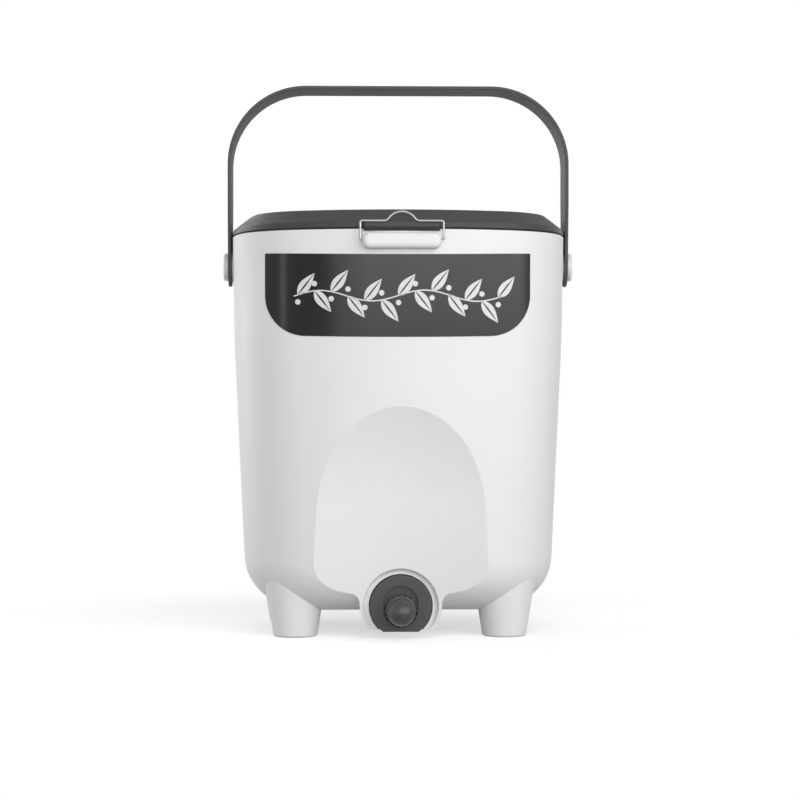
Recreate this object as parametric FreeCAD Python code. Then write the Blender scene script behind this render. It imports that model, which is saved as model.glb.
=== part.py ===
import FreeCAD, Part
import math
import os

# Bokashi bin: a tapered bin with a drain tap, a latched lid and a swinging strap handle.
# Millimetres, +Z up, front towards -Y, origin on the floor under the middle of the bin.

Vec = FreeCAD.Vector
X_DIR = Vec(1, 0, 0)
Y_DIR = Vec(0, 1, 0)
Z_DIR = Vec(0, 0, 1)

# Bin shell: plan outline at the rim, taper, wall
RIM_HALF_WIDTH = 147.3
RIM_HALF_DEPTH = 131.0
FRONT_RADIUS = 260.0
SIDE_RADIUS = 230.0
CORNER_RADIUS = 80.0
RIM_Z = 347.0
UNDERSIDE_Z = 22.5
BAND_HEIGHT = 92.0
BAND_INSET = 1.7
TAPER_INSET = 12.5
BASE_ROUND = 42.0
TOE_ROUND = 58.0
TOE_POINTS = 12
BASE_SECTIONS = 11
WALL_SECTIONS = 10
WALL = 3.0

# Feet
FOOT_BOTTOM_RADIUS = 18.9
FOOT_FLARE_DEG = 9.0
FOOT_EDGE_FILLET = 2.5
FOOT_EMBED = 36.0
FRONT_FOOT_X = 90.3
FRONT_FOOT_Y = 67.0
REAR_FOOT_X = 97.0
REAR_FOOT_Y = 62.0

# Arched niche pressed into the front
NICHE_SETBACK = 25.3
NICHE_RADIUS = 380.0
NICHE_TILT_DEG = 4.45
NICHE_BEND_RADIUS = 268.0
NICHE_BEND_DEG = 32.0
NICHE_BEND_Z = 113.3
NICHE_EDGE_FILLET = 2.0
NICHE_SWEEP_DEG = 60.0

# Tap boss at the foot of the niche
BOSS_Z = 28.3
BOSS_RADIUS = 35.0
BOSS_FLAT_Z = 8.0
BOSS_FLARE_RADIUS = 10.0
BOSS_FLARE_RISE = 1.7
RECESS_DEPTH = 12.0
RECESS_FIT = 0.8
LEDGE_WIDTH = 1.0
LEDGE_DEPTH = 2.0
COVE_RADIUS = 4.0
TONGUE_THICKNESS = 4.0
POCKET_CLEARANCE = 1.0
POCKET_DEPTH = 21.0
POCKET_WALL = 4.0

# Tap
TAP_AXIS_Z = 25.0
DIAL_RADIUS = 26.5
DIAL_FLAT_Z = 6.5
DIAL_PROUD = 1.0
DIAL_EDGE_FILLET = 0.7
DISH_RADIUS = 15.0
DISH_DEPTH = 5.0
DISH_RISE = 6.0
GASKET_THICKNESS = 0.8
GASKET_RADIUS = 23.0
BARREL_RADIUS = 10.0
BARREL_FIT = 0.3
BARREL_TAIL = 17.0
PLUG_RADIUS = 6.95
RUNNING_FIT = 0.05
PLUG_BORE_RADIUS = 4.0
PLUG_NOSE = 4.0
PORT_RADIUS = 3.0
PORT_SETBACK = 3.6
PORT_LAND = 1.0
O_RING_THICKNESS = 1.2
O_RING_INNER_RADIUS = 5.8
O_RING_SPACING = 6.0
RETAINER_THICKNESS = 1.2
RETAINER_RADIUS = 9.0
RETAINER_GAP = 0.3
PLUG_TAIL = 1.5
TAP_WASHER_RADIUS = 14.0
TAP_WASHER_THICKNESS = 1.5
NUT_FLATS = 24.5
NUT_HEIGHT = 7.0

# Tap knob
COLLAR_RADIUS = 13.0
COLLAR_LENGTH = 13.5
COLLAR_FILLET = 1.8
COLLAR_RIBS = 16
COLLAR_RIB_RADIUS = 1.1
COLLAR_GAP = 0.3
COLLAR_SEAT_GAP = 0.5
KNOB_NECK_RADIUS = 8.5
KNOB_BALL_RADIUS = 11.5
KNOB_REACH = 34.5

# Handle and its pivots
PIVOT_DROP = 24.5
PIVOT_BOSS_RADIUS = 14.0
PIVOT_BOSS_PROUD = 0.3
STRAP_THICKNESS = 3.0
STRAP_WIDTH = 46.0
STRAP_TAPER_RISE = 57.0
EYE_RADIUS = 17.6
HANDLE_RISE = 159.0
HANDLE_BEND_RADIUS = 69.0
STRAP_EDGE_FILLET = 0.8
SHANK_RADIUS = 5.0
PIVOT_WASHER_RADIUS = 13.0
PIVOT_WASHER_THICKNESS = 0.75
SIDE_PLAY = 0.05
RIVET_CAP_RADIUS = 12.5
RIVET_CAP_THICKNESS = 4.35
RIVET_CAP_FILLET = 1.8
CLIP_RADIUS = 8.0
CLIP_THICKNESS = 2.0
CLIP_GAP = 0.6
SHANK_TAIL = 1.5

# Latches
KEEPER_HALF_LENGTH = 33.0
KEEPER_REACH = 9.0
KEEPER_HEIGHT = 14.0
KEEPER_DROP = 3.0
KEEPER_CORNER_RADIUS = 6.0
KEEPER_NOSE_FILLET = 5.0
KEEPER_HOLE_DEPTH = 8.0
WIRE_RADIUS = 1.0
WIRE_STANDOFF = 4.3
WIRE_BEND_RADIUS = 1.6
WIRE_END_GAP = 0.5
LEG_GAP = 0.2
LATCH_GAP = 0.4
ARCH_HALF_WIDTH = 12.7
ARCH_SLOPE_DEG = 50.0
ARCH_RADIUS = 13.5
ARCH_BLEND_RADIUS = 5.0

# Lid
SEAL_THICKNESS = 1.7
SEAL_EDGE = 1.0
LID_EDGE_INSET = 0.2
LID_BAND_HEIGHT = 4.6
LID_BAND_DRAFT = 0.5
LID_SLOPE_RUN = 14.5
LID_SLOPE_RISE = 11.2
LID_RIDGE_FILLET = 1.0
LID_SHOULDER_FILLET = 2.0
LID_CROWN_RUN = 55.0
LID_CROWN_RISE = 2.5
LID_WALL = 2.6
LID_FLANGE_WIDTH = 8.0
SKIRT_DEPTH = 14.0
SKIRT_THICKNESS = 2.4
SKIRT_GAP = 0.8
TAB_HALF_WIDTH = 32.0
TAB_TOP_DROP = 0.4
TAB_EDGE_FILLET = 1.5
TAB_LIP_DROP = 3.4
TAB_LIP_GAP = 0.4

# Label film on the front
LABEL_CENTRE_X = -2.8
LABEL_HALF_WIDTH = 112.6
LABEL_EDGE_RISE = 2.2
LABEL_HEIGHT = 69.2
LABEL_DROP = 21.2
LABEL_CORNER_RADIUS = 35.0
LABEL_THICKNESS = 0.4
LABEL_GLUE = 0.1

# Strainer plate
STRAINER_HEIGHT = 44.0
STRAINER_THICKNESS = 3.0
STRAINER_GAP = 1.5
STRAINER_LEG_X = 62.0
STRAINER_LEG_Y = 48.0
STRAINER_LEG_RADIUS = 5.0
HOLE_RADIUS = 2.5
HOLE_PITCH = 16.0
HOLE_EDGE = 7.0

# Levels and places that follow from the sizes above
FRONT_SIDE = -1
REAR_SIDE = 1
FLOOR_Z = UNDERSIDE_Z + WALL
BODY_SLOPE = (TAPER_INSET - BAND_INSET) / (RIM_Z - BAND_HEIGHT - UNDERSIDE_Z)
PIVOT_Z = RIM_Z - PIVOT_DROP
BAND_Z = RIM_Z - BAND_HEIGHT
LID_BASE_Z = RIM_Z + SEAL_THICKNESS
LID_RIDGE_Z = LID_BASE_Z + LID_BAND_HEIGHT
LID_SHOULDER_Z = LID_RIDGE_Z + LID_SLOPE_RISE
LID_CROWN_Z = LID_SHOULDER_Z + LID_CROWN_RISE
KEEPER_TOP_Z = RIM_Z - KEEPER_DROP
LATCH_PIVOT_Z = KEEPER_TOP_Z - KEEPER_HEIGHT / 2 + WIRE_RADIUS
LATCH_PLANE_Y = RIM_HALF_DEPTH + WIRE_STANDOFF
NICHE_FLOOR_Y = -(RIM_HALF_DEPTH - NICHE_SETBACK)
TAP_FACE_Y = NICHE_FLOOR_Y + (NICHE_BEND_Z - BOSS_Z) * math.tan(math.radians(NICHE_TILT_DEG))
RECESS_FLOOR_Y = TAP_FACE_Y + RECESS_DEPTH
TONGUE_BACK_Y = RECESS_FLOOR_Y + TONGUE_THICKNESS
DIAL_FRONT_Y = TAP_FACE_Y - DIAL_PROUD
DIAL_BACK_Y = RECESS_FLOOR_Y - GASKET_THICKNESS
LEDGE_Y = TAP_FACE_Y + LEDGE_DEPTH
RECESS_RADIUS = DIAL_RADIUS + RECESS_FIT
DISH_FLOOR_Y = DIAL_FRONT_Y + DISH_DEPTH
BARREL_END_Y = TONGUE_BACK_Y + BARREL_TAIL
PORT_Y = DISH_FLOOR_Y + PORT_SETBACK
PLUG_FRONT_Y = DISH_FLOOR_Y - PLUG_NOSE
RETAINER_Y = BARREL_END_Y + RETAINER_GAP
RETAINER_END_Y = RETAINER_Y + RETAINER_THICKNESS
PLUG_END_Y = RETAINER_END_Y + PLUG_TAIL
NUT_CORNER_RADIUS = NUT_FLATS / math.sqrt(3)
POCKET_RADIUS = NUT_CORNER_RADIUS + POCKET_CLEARANCE


def wall_inset(z):
    """How far the outer wall at height z stands inside the rim outline."""
    if z > BAND_Z:
        return BAND_INSET * (RIM_Z - z) / BAND_HEIGHT
    return BAND_INSET + BODY_SLOPE * (BAND_Z - z)


def side_x(z):
    """Half-width of the outer wall at height z."""
    return RIM_HALF_WIDTH - wall_inset(z)


def front_y(z):
    """Half-depth of the outer wall at height z."""
    return RIM_HALF_DEPTH - wall_inset(z)


def corner_centre():
    """Centre of the corner arc that runs tangent to the front arc and the side arc."""
    front = Vec(0, RIM_HALF_DEPTH - FRONT_RADIUS, 0)
    side = Vec(RIM_HALF_WIDTH - SIDE_RADIUS, 0, 0)
    reach_front = FRONT_RADIUS - CORNER_RADIUS
    reach_side = SIDE_RADIUS - CORNER_RADIUS
    span = front.distanceToPoint(side)
    along = (reach_front**2 - reach_side**2 + span**2) / (2 * span)
    across = math.sqrt(reach_front**2 - along**2)
    way = (side - front).normalize()
    return front + way * along + Vec(way.y, -way.x, 0) * across


def plan_wire(inset, z):
    """Closed plan outline of ten tangent arcs, drawn in from the rim outline by inset."""
    front = Vec(0, RIM_HALF_DEPTH - FRONT_RADIUS, 0)
    side = Vec(RIM_HALF_WIDTH - SIDE_RADIUS, 0, 0)
    corner = corner_centre()
    to_front = (corner - front).normalize()
    to_side = (corner - side).normalize()
    to_middle = (to_front + to_side).normalize()
    front_mid = Vec(0, RIM_HALF_DEPTH - inset, 0)
    front_end = front + to_front * (FRONT_RADIUS - inset)
    corner_mid = corner + to_middle * (CORNER_RADIUS - inset)
    side_end = side + to_side * (SIDE_RADIUS - inset)
    side_half = side + (to_side + X_DIR).normalize() * (SIDE_RADIUS - inset)
    side_mid = Vec(RIM_HALF_WIDTH - inset, 0, 0)

    def at(point, sign_x, sign_y):
        return Vec(point.x * sign_x, point.y * sign_y, z)

    arcs = [
        (at(front_end, -1, -1), at(front_mid, 1, -1), at(front_end, 1, -1)),
        (at(front_end, 1, -1), at(corner_mid, 1, -1), at(side_end, 1, -1)),
        (at(side_end, 1, -1), at(side_half, 1, -1), at(side_mid, 1, 1)),
        (at(side_mid, 1, 1), at(side_half, 1, 1), at(side_end, 1, 1)),
        (at(side_end, 1, 1), at(corner_mid, 1, 1), at(front_end, 1, 1)),
        (at(front_end, 1, 1), at(front_mid, 1, 1), at(front_end, -1, 1)),
        (at(front_end, -1, 1), at(corner_mid, -1, 1), at(side_end, -1, 1)),
        (at(side_end, -1, 1), at(side_half, -1, 1), at(side_mid, -1, 1)),
        (at(side_mid, -1, 1), at(side_half, -1, -1), at(side_end, -1, -1)),
        (at(side_end, -1, -1), at(corner_mid, -1, -1), at(front_end, -1, -1)),
    ]
    return Part.Wire([Part.Arc(*points).toShape() for points in arcs])


def plan_stack(sections):
    """Solid that runs straight from one (inset, z) plan section to the next."""
    solid = None
    for (inset, z), (next_inset, next_z) in zip(sections, sections[1:]):
        wires = [plan_wire(inset, z), plan_wire(next_inset, next_z)]
        layer = Part.makeLoft(wires, True, True)
        solid = layer if solid is None else solid.fuse(layer)
    return solid


def tapered_block(offset, low_z, high_z):
    """Tapered bin form whose wall stands inside the outer wall by offset."""
    levels = [low_z, BAND_Z, high_z] if low_z < BAND_Z < high_z else [low_z, high_z]
    return plan_stack([(wall_inset(z) + offset, z) for z in levels])


def rounding(radius, height):
    """How far a rounded base of this radius draws the wall in at a height above the base."""
    if height >= radius:
        return 0
    return radius - math.sqrt(radius**2 - (radius - height)**2)


def drawn_back(arc, reach):
    """Curve along the front arc whose middle is eased back by reach, with the arc's own ends."""
    first, last = arc.ParameterRange
    points = []
    for index in range(TOE_POINTS + 1):
        share = index / TOE_POINTS
        ease = (4 * share * (1 - share))**2
        points.append(arc.valueAt(first + (last - first) * share) + Y_DIR * reach * ease)
    curve = Part.BSplineCurve()
    curve.interpolate(Points=points, InitialTangent=arc.tangentAt(first), FinalTangent=arc.tangentAt(last))
    return curve.toShape()


def bin_section(offset, low_z, z):
    """Plan outline of the bin form at height z, its front drawn back by the wider rounding of the toe."""
    base_inset = rounding(BASE_ROUND - offset, z - low_z)
    toe_inset = rounding(TOE_ROUND - offset, z - low_z)
    edges = plan_wire(wall_inset(z) + offset + base_inset, z).Edges
    if toe_inset > base_inset:
        edges[0] = drawn_back(edges[0], toe_inset - base_inset)
    return Part.Wire([edge.toNurbs().Edges[0] for edge in edges])


def bin_form(offset, low_z):
    """Tapered bin form with a rounded base, whose wall stands inside the outer wall by offset."""
    toe = TOE_ROUND - offset
    wall_rise = BAND_Z - low_z - toe
    levels = [low_z + toe * (index / BASE_SECTIONS)**2 for index in range(BASE_SECTIONS)]
    levels += [low_z + toe + wall_rise * index / WALL_SECTIONS for index in range(WALL_SECTIONS + 1)]
    lower = Part.makeLoft([bin_section(offset, low_z, z) for z in levels], True, False)
    return lower.fuse(tapered_block(offset, BAND_Z, RIM_Z))


def cylinder_x(radius, start, end, y, z):
    """Cylinder along X between two places on X."""
    return Part.makeCylinder(radius, abs(end - start), Vec(min(start, end), y, z), X_DIR)


def cylinder_y(radius, start, end, z):
    """Cylinder along Y in the middle plane of the bin."""
    return Part.makeCylinder(radius, end - start, Vec(0, start, z), Y_DIR)


def ring_y(outer, inner, start, end, z):
    """Flat ring round the Y direction."""
    return cylinder_y(outer, start, end, z).cut(cylinder_y(inner, start, end, z))


def box_between(low, high):
    """Block from its lowest corner to its highest corner."""
    size = high - low
    return Part.makeBox(size.x, size.y, size.z, low)


def edges_at(shape, test):
    """Edges of a shape whose middle point passes a test."""
    return [edge for edge in shape.Edges if test(edge.BoundBox.Center)]


def level_edges(shape, z):
    """Edges that lie flat at height z."""
    reach = 1e-4
    return [e for e in shape.Edges if abs(e.BoundBox.ZMin - z) < reach and abs(e.BoundBox.ZMax - z) < reach]


def mirrored(shape):
    """The same shape on the other side of the bin's middle plane."""
    return shape.mirror(Vec(0, 0, 0), X_DIR)


def niche_cutter(grow):
    """Concave scoop: a leaning cone that bends forward at its top, grown into the bin."""
    tilt = math.radians(NICHE_TILT_DEG)
    bend = Vec(0, NICHE_FLOOR_Y, NICHE_BEND_Z)
    centre = bend - Vec(0, math.cos(tilt), math.sin(tilt)) * NICHE_BEND_RADIUS

    def on_bend(degrees):
        angle = math.radians(degrees)
        return centre + Vec(0, math.cos(angle), math.sin(angle)) * (NICHE_BEND_RADIUS + grow)

    start = on_bend(NICHE_TILT_DEG)
    middle = on_bend(NICHE_TILT_DEG + NICHE_BEND_DEG / 2)
    top = on_bend(NICHE_TILT_DEG + NICHE_BEND_DEG)
    low_z = -UNDERSIDE_Z
    near_y = -RIM_HALF_DEPTH - 2 * NICHE_SETBACK
    corners = [
        top,
        Vec(0, near_y, top.z),
        Vec(0, near_y, low_z),
        Vec(0, start.y + (start.z - low_z) * math.tan(tilt), low_z),
        start,
    ]
    sides = [Part.makeLine(a, b) for a, b in zip(corners, corners[1:])]
    face = Part.Face(Part.Wire([Part.Arc(start, middle, top).toShape()] + sides))
    axis = Vec(0, NICHE_FLOOR_Y - NICHE_RADIUS, 0)
    face.rotate(axis, Z_DIR, -NICHE_SWEEP_DEG / 2)
    return face.revolve(axis, Z_DIR, NICHE_SWEEP_DEG)


def on_niche(point):
    """True for a point on the surface of the niche."""
    tilt = math.radians(NICHE_TILT_DEG)
    reach = math.hypot(point.x, point.y - NICHE_FLOOR_Y + NICHE_RADIUS) - NICHE_RADIUS
    rise = point.z - NICHE_BEND_Z
    if rise <= 0:
        off = reach + rise * math.tan(tilt)
    else:
        back = reach + math.cos(tilt) * NICHE_BEND_RADIUS
        up = rise + math.sin(tilt) * NICHE_BEND_RADIUS
        off = math.hypot(back, up) - NICHE_BEND_RADIUS
    return abs(off) < 1e-2


def niche_rim(shape):
    """Edges where the niche breaks through the outer wall."""
    edges = [e for e in shape.Edges if all(on_niche(p) for p in e.discretize(7))]
    return [e for e in edges if e.BoundBox.ZLength > 1]


def foot(x, y):
    """Round tapered foot that runs up into the bin's rounded base."""
    height = UNDERSIDE_Z + FOOT_EMBED
    top_radius = FOOT_BOTTOM_RADIUS + height * math.tan(math.radians(FOOT_FLARE_DEG))
    cone = Part.makeCone(FOOT_BOTTOM_RADIUS, top_radius, height, Vec(x, y, 0), Z_DIR)
    return cone.makeFillet(FOOT_EDGE_FILLET, level_edges(cone, 0))


def boss_flare(start_y):
    """Hollow-sided web that eases one side of the tap boss into the base."""
    centre_x = BOSS_RADIUS + BOSS_FLARE_RADIUS
    low_z = BOSS_Z + BOSS_FLARE_RISE
    low = Vec(BOSS_RADIUS / 2, start_y, low_z)
    high = Vec(centre_x, TONGUE_BACK_Y, low_z + BOSS_FLARE_RADIUS)
    hollow_start = Vec(centre_x, start_y, low_z)
    hollow = Part.makeCylinder(BOSS_FLARE_RADIUS, TONGUE_BACK_Y - start_y, hollow_start, Y_DIR)
    return box_between(low, high).cut(hollow)


def tap_boss():
    """Round boss round the tap face and a smaller one round the lock nut, flat underneath."""
    face_start = TAP_FACE_Y - BOSS_RADIUS
    pocket_end = TONGUE_BACK_Y + POCKET_DEPTH
    face_boss = cylinder_y(BOSS_RADIUS, face_start, TONGUE_BACK_Y, BOSS_Z)
    nut_boss = cylinder_y(POCKET_RADIUS + POCKET_WALL, RECESS_FLOOR_Y, pocket_end + POCKET_WALL, TAP_AXIS_Z)
    flare = boss_flare(face_start)
    boss = face_boss.fuse([nut_boss, flare, mirrored(flare)])
    reach = 2 * BOSS_RADIUS
    below = box_between(Vec(-reach, face_start - 1, BOSS_FLAT_Z - reach), Vec(reach, 0, BOSS_FLAT_Z))
    return boss.cut(niche_cutter(0)).cut(below)


def tap_recess():
    """Coved recess for the tap face, the hole for its barrel and the pocket for its nut."""
    ledge_radius = RECESS_RADIUS + LEDGE_WIDTH
    mouth_radius = ledge_radius + COVE_RADIUS
    far_y = LEDGE_Y - RECESS_DEPTH

    def at(radius, y):
        return Vec(radius, y, BOSS_Z)

    cove_start = at(ledge_radius, LEDGE_Y)
    cove_end = at(mouth_radius, LEDGE_Y - COVE_RADIUS)
    swing = COVE_RADIUS * math.sqrt(0.5)
    cove_middle = at(ledge_radius + swing, LEDGE_Y - COVE_RADIUS + swing)
    corners = [
        cove_end,
        at(mouth_radius, far_y),
        at(0, far_y),
        at(0, RECESS_FLOOR_Y),
        at(RECESS_RADIUS, RECESS_FLOOR_Y),
        at(RECESS_RADIUS, LEDGE_Y),
        cove_start,
    ]
    sides = [Part.makeLine(a, b) for a, b in zip(corners, corners[1:])]
    profile = Part.Face(Part.Wire([Part.Arc(cove_start, cove_middle, cove_end).toShape()] + sides))
    mouth = profile.revolve(Vec(0, 0, BOSS_Z), Y_DIR, 360)
    hole = cylinder_y(BARREL_RADIUS + BARREL_FIT, RECESS_FLOOR_Y - 1, TONGUE_BACK_Y + 1, TAP_AXIS_Z)
    pocket = cylinder_y(POCKET_RADIUS, TONGUE_BACK_Y, TONGUE_BACK_Y + POCKET_DEPTH, TAP_AXIS_Z)
    return mouth.fuse(hole).fuse(pocket)


def keeper(side):
    """Rounded bar under the rim that carries a latch wire in a hole at each end."""
    low_z = KEEPER_TOP_Z - KEEPER_HEIGHT
    middle_z = KEEPER_TOP_Z - KEEPER_HEIGHT / 2
    back_y = front_y(low_z) - WALL
    nose_y = RIM_HALF_DEPTH + KEEPER_REACH
    low = Vec(-KEEPER_HALF_LENGTH, min(side * back_y, side * nose_y), low_z)
    high = Vec(KEEPER_HALF_LENGTH, max(side * back_y, side * nose_y), KEEPER_TOP_Z)
    bar = box_between(low, high)
    corners = edges_at(bar, lambda mid: abs(mid.x) > KEEPER_HALF_LENGTH - 1 and abs(mid.z - middle_z) > 1)
    bar = bar.makeFillet(KEEPER_CORNER_RADIUS, corners)
    nose = [edge for edge in bar.Edges if abs(edge.BoundBox.YMin - side * nose_y) < 1e-3]
    nose = [edge for edge in nose if abs(edge.BoundBox.YMax - side * nose_y) < 1e-3]
    bar = bar.makeFillet(KEEPER_NOSE_FILLET, nose)
    for sign in (-1, 1):
        inner_x = sign * (KEEPER_HALF_LENGTH - KEEPER_HOLE_DEPTH)
        outer_x = sign * (KEEPER_HALF_LENGTH + 1)
        hole = cylinder_x(WIRE_RADIUS + RUNNING_FIT, inner_x, outer_x, side * LATCH_PLANE_Y, LATCH_PIVOT_Z)
        bar = bar.cut(hole)
    return bar


def pivot_boss_x():
    """Outer face of the pivot boss, measured from the middle of the bin."""
    return side_x(PIVOT_Z) + PIVOT_BOSS_PROUD


def handle_inner_x():
    """Inner face of the handle's strap, measured from the middle of the bin."""
    return pivot_boss_x() + PIVOT_WASHER_THICKNESS + SIDE_PLAY


def bin_body():
    """The white moulding: shell, niche, tap boss, feet, keepers and pivot bosses."""
    feet = [foot(sign * FRONT_FOOT_X, -FRONT_FOOT_Y) for sign in (-1, 1)]
    feet += [foot(sign * REAR_FOOT_X, REAR_FOOT_Y) for sign in (-1, 1)]
    solid = bin_form(0, UNDERSIDE_Z).cut(niche_cutter(0))
    solid = solid.makeFillet(NICHE_EDGE_FILLET, niche_rim(solid))
    solid = solid.fuse(feet + [tap_boss()])
    inside_x = side_x(PIVOT_Z) - WALL
    boss = cylinder_x(PIVOT_BOSS_RADIUS, inside_x, pivot_boss_x(), 0, PIVOT_Z)
    solid = solid.fuse([boss, mirrored(boss), keeper(FRONT_SIDE), keeper(REAR_SIDE)])

    cavity = bin_form(WALL, FLOOR_Z).cut(niche_cutter(WALL))
    cavity = cavity.cut(cylinder_y(BOSS_RADIUS, NICHE_FLOOR_Y, TONGUE_BACK_Y, BOSS_Z))
    pin_reach = 2 * WALL
    pin_hole = cylinder_x(SHANK_RADIUS + RUNNING_FIT, inside_x - pin_reach, pivot_boss_x() + 1, 0, PIVOT_Z)
    return solid.cut([cavity, tap_recess(), pin_hole, mirrored(pin_hole)]).removeSplitter()


def lid():
    """Lid shell with a sloped shoulder, a low crown, a plug skirt and two latch tabs."""
    ridge_inset = LID_EDGE_INSET + LID_BAND_DRAFT
    shoulder_inset = ridge_inset + LID_SLOPE_RUN
    crown_inset = shoulder_inset + LID_CROWN_RUN
    shell = plan_stack([
        (LID_EDGE_INSET, LID_BASE_Z),
        (ridge_inset, LID_RIDGE_Z),
        (shoulder_inset, LID_SHOULDER_Z),
        (crown_inset, LID_CROWN_Z),
    ]).removeSplitter()
    shell = shell.makeFillet(LID_RIDGE_FILLET, level_edges(shell, LID_RIDGE_Z))
    shell = shell.makeFillet(LID_SHOULDER_FILLET, level_edges(shell, LID_SHOULDER_Z))
    tab_front = LATCH_PLANE_Y - WIRE_RADIUS - LATCH_GAP
    tab_back = RIM_HALF_DEPTH - LID_FLANGE_WIDTH
    tab_lip = RIM_HALF_DEPTH + TAB_LIP_GAP
    tab_top = LID_RIDGE_Z - TAB_TOP_DROP
    for side in (FRONT_SIDE, REAR_SIDE):
        outline = [
            (tab_back, LID_BASE_Z),
            (tab_lip, LID_BASE_Z),
            (tab_lip, LID_BASE_Z - TAB_LIP_DROP),
            (tab_front, LID_BASE_Z),
            (tab_front, tab_top),
            (tab_back, tab_top),
            (tab_back, LID_BASE_Z),
        ]
        corners = [Vec(-TAB_HALF_WIDTH, side * y, z) for y, z in outline]
        tab = Part.Face(Part.makePolygon(corners)).extrude(X_DIR * 2 * TAB_HALF_WIDTH)
        upright = [e for e in tab.Edges if e.BoundBox.XLength < 1e-3 and e.BoundBox.YLength < 1e-3]
        upright = [e for e in upright if abs(e.BoundBox.YMin - side * tab_front) < 1e-3]
        shell = shell.fuse(tab.makeFillet(TAB_EDGE_FILLET, upright))
    hollow = plan_stack([
        (LID_FLANGE_WIDTH, LID_BASE_Z),
        (LID_FLANGE_WIDTH, LID_RIDGE_Z - LID_WALL / 2),
        (shoulder_inset + LID_WALL, LID_SHOULDER_Z - LID_WALL),
        (crown_inset, LID_CROWN_Z - LID_WALL),
    ])
    skirt_z = LID_BASE_Z - SKIRT_DEPTH
    skirt_inset = wall_inset(skirt_z) + WALL + SKIRT_GAP
    skirt = plan_ring(skirt_inset, skirt_inset + SKIRT_THICKNESS, skirt_z, LID_RIDGE_Z - LID_WALL / 2)
    return shell.cut(hollow).fuse(skirt).removeSplitter()


def plan_ring(outer_inset, inner_inset, low_z, high_z):
    """Upright ring between two insets of the plan outline."""
    ring = Part.Face([plan_wire(outer_inset, low_z), plan_wire(inner_inset, low_z)])
    ring.validate()
    return ring.extrude(Vec(0, 0, high_z - low_z))


def lid_seal():
    """Flat rubber ring between the rim and the lid's flange."""
    return plan_ring(SEAL_EDGE, WALL - SEAL_EDGE, RIM_Z, LID_BASE_Z)


def strap_line(half_width, rise, bend):
    """Corners and path of one face of the handle's arch: two upright legs and a level bar."""
    foot_z = PIVOT_Z - EYE_RADIUS
    bar_z = PIVOT_Z + rise
    half = [Vec(-half_width, 0, foot_z), Vec(-half_width, 0, bar_z)]
    points = half + [Vec(-p.x, p.y, p.z) for p in reversed(half)]
    return points, rounded_path(points, [bend, bend])


def handle():
    """Bent strap with a round eye at each end, swinging on the two rivets."""
    inner_x = handle_inner_x()
    inner, low = strap_line(inner_x, HANDLE_RISE - STRAP_THICKNESS, HANDLE_BEND_RADIUS - STRAP_THICKNESS)
    outer, high = strap_line(inner_x + STRAP_THICKNESS, HANDLE_RISE, HANDLE_BEND_RADIUS)
    closing = [Part.makeLine(inner[0], outer[0]), Part.makeLine(inner[-1], outer[-1])]
    wire = Part.Wire(Part.__sortEdges__(low.Edges + high.Edges + closing))
    strap = Part.Face(wire).extrude(Y_DIR * STRAP_WIDTH)
    strap.translate(Vec(0, -STRAP_WIDTH / 2, 0))

    half = STRAP_WIDTH / 2
    taper_z = PIVOT_Z + STRAP_TAPER_RISE
    top_z = PIVOT_Z + HANDLE_RISE + 1
    span = inner_x + 2 * STRAP_THICKNESS
    eye_front = Vec(-span, -EYE_RADIUS, PIVOT_Z)
    eye_low = Vec(-span, 0, PIVOT_Z - EYE_RADIUS)
    eye_rear = Vec(-span, EYE_RADIUS, PIVOT_Z)
    corners = [
        eye_rear,
        Vec(-span, half, taper_z),
        Vec(-span, half, top_z),
        Vec(-span, -half, top_z),
        Vec(-span, -half, taper_z),
        eye_front,
    ]
    sides = [Part.makeLine(a, b) for a, b in zip(corners, corners[1:])]
    side_view = Part.Face(Part.Wire([Part.Arc(eye_front, eye_low, eye_rear).toShape()] + sides))
    strap = strap.common(side_view.extrude(X_DIR * 2 * span))
    rims = [edge for edge in strap.Edges if is_strap_rim(edge)]
    strap = strap.makeFillet(STRAP_EDGE_FILLET, rims)
    hole = cylinder_x(SHANK_RADIUS + RUNNING_FIT, -span, span, 0, PIVOT_Z)
    return strap.cut(hole)


def is_strap_rim(edge):
    """True for the long edges of the strap, which run along the arch and round the eyes."""
    box = edge.BoundBox
    across = abs(box.XLength - STRAP_THICKNESS) < 0.1 and box.YLength < 0.1 and box.ZLength < 0.1
    seam = box.YLength > EYE_RADIUS and box.ZLength < 0.1
    return not across and not seam


def pivot_pieces():
    """Rivet, washer and inner clip of the right-hand pivot, along +X."""
    cap_x = handle_inner_x() + STRAP_THICKNESS + SIDE_PLAY
    washer_x = pivot_boss_x()
    inside_x = side_x(PIVOT_Z) - WALL
    clip_x = inside_x - CLIP_GAP - CLIP_THICKNESS
    shank = cylinder_x(SHANK_RADIUS, clip_x - SHANK_TAIL, cap_x + 1, 0, PIVOT_Z)
    cap = cylinder_x(RIVET_CAP_RADIUS, cap_x, cap_x + RIVET_CAP_THICKNESS, 0, PIVOT_Z)
    rim = edges_at(cap, lambda mid: abs(mid.x - cap_x - RIVET_CAP_THICKNESS) < 1e-3)
    rivet = cap.makeFillet(RIVET_CAP_FILLET, rim).fuse(shank).removeSplitter()
    hole = cylinder_x(SHANK_RADIUS + RUNNING_FIT, clip_x - 1, cap_x, 0, PIVOT_Z)
    washer_end = washer_x + PIVOT_WASHER_THICKNESS
    washer = cylinder_x(PIVOT_WASHER_RADIUS, washer_x, washer_end, 0, PIVOT_Z)
    clip = cylinder_x(CLIP_RADIUS, clip_x, clip_x + CLIP_THICKNESS, 0, PIVOT_Z)
    return {"pivot_rivet": rivet, "pivot_washer": washer.cut(hole), "pivot_clip": clip.cut(hole)}


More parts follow.
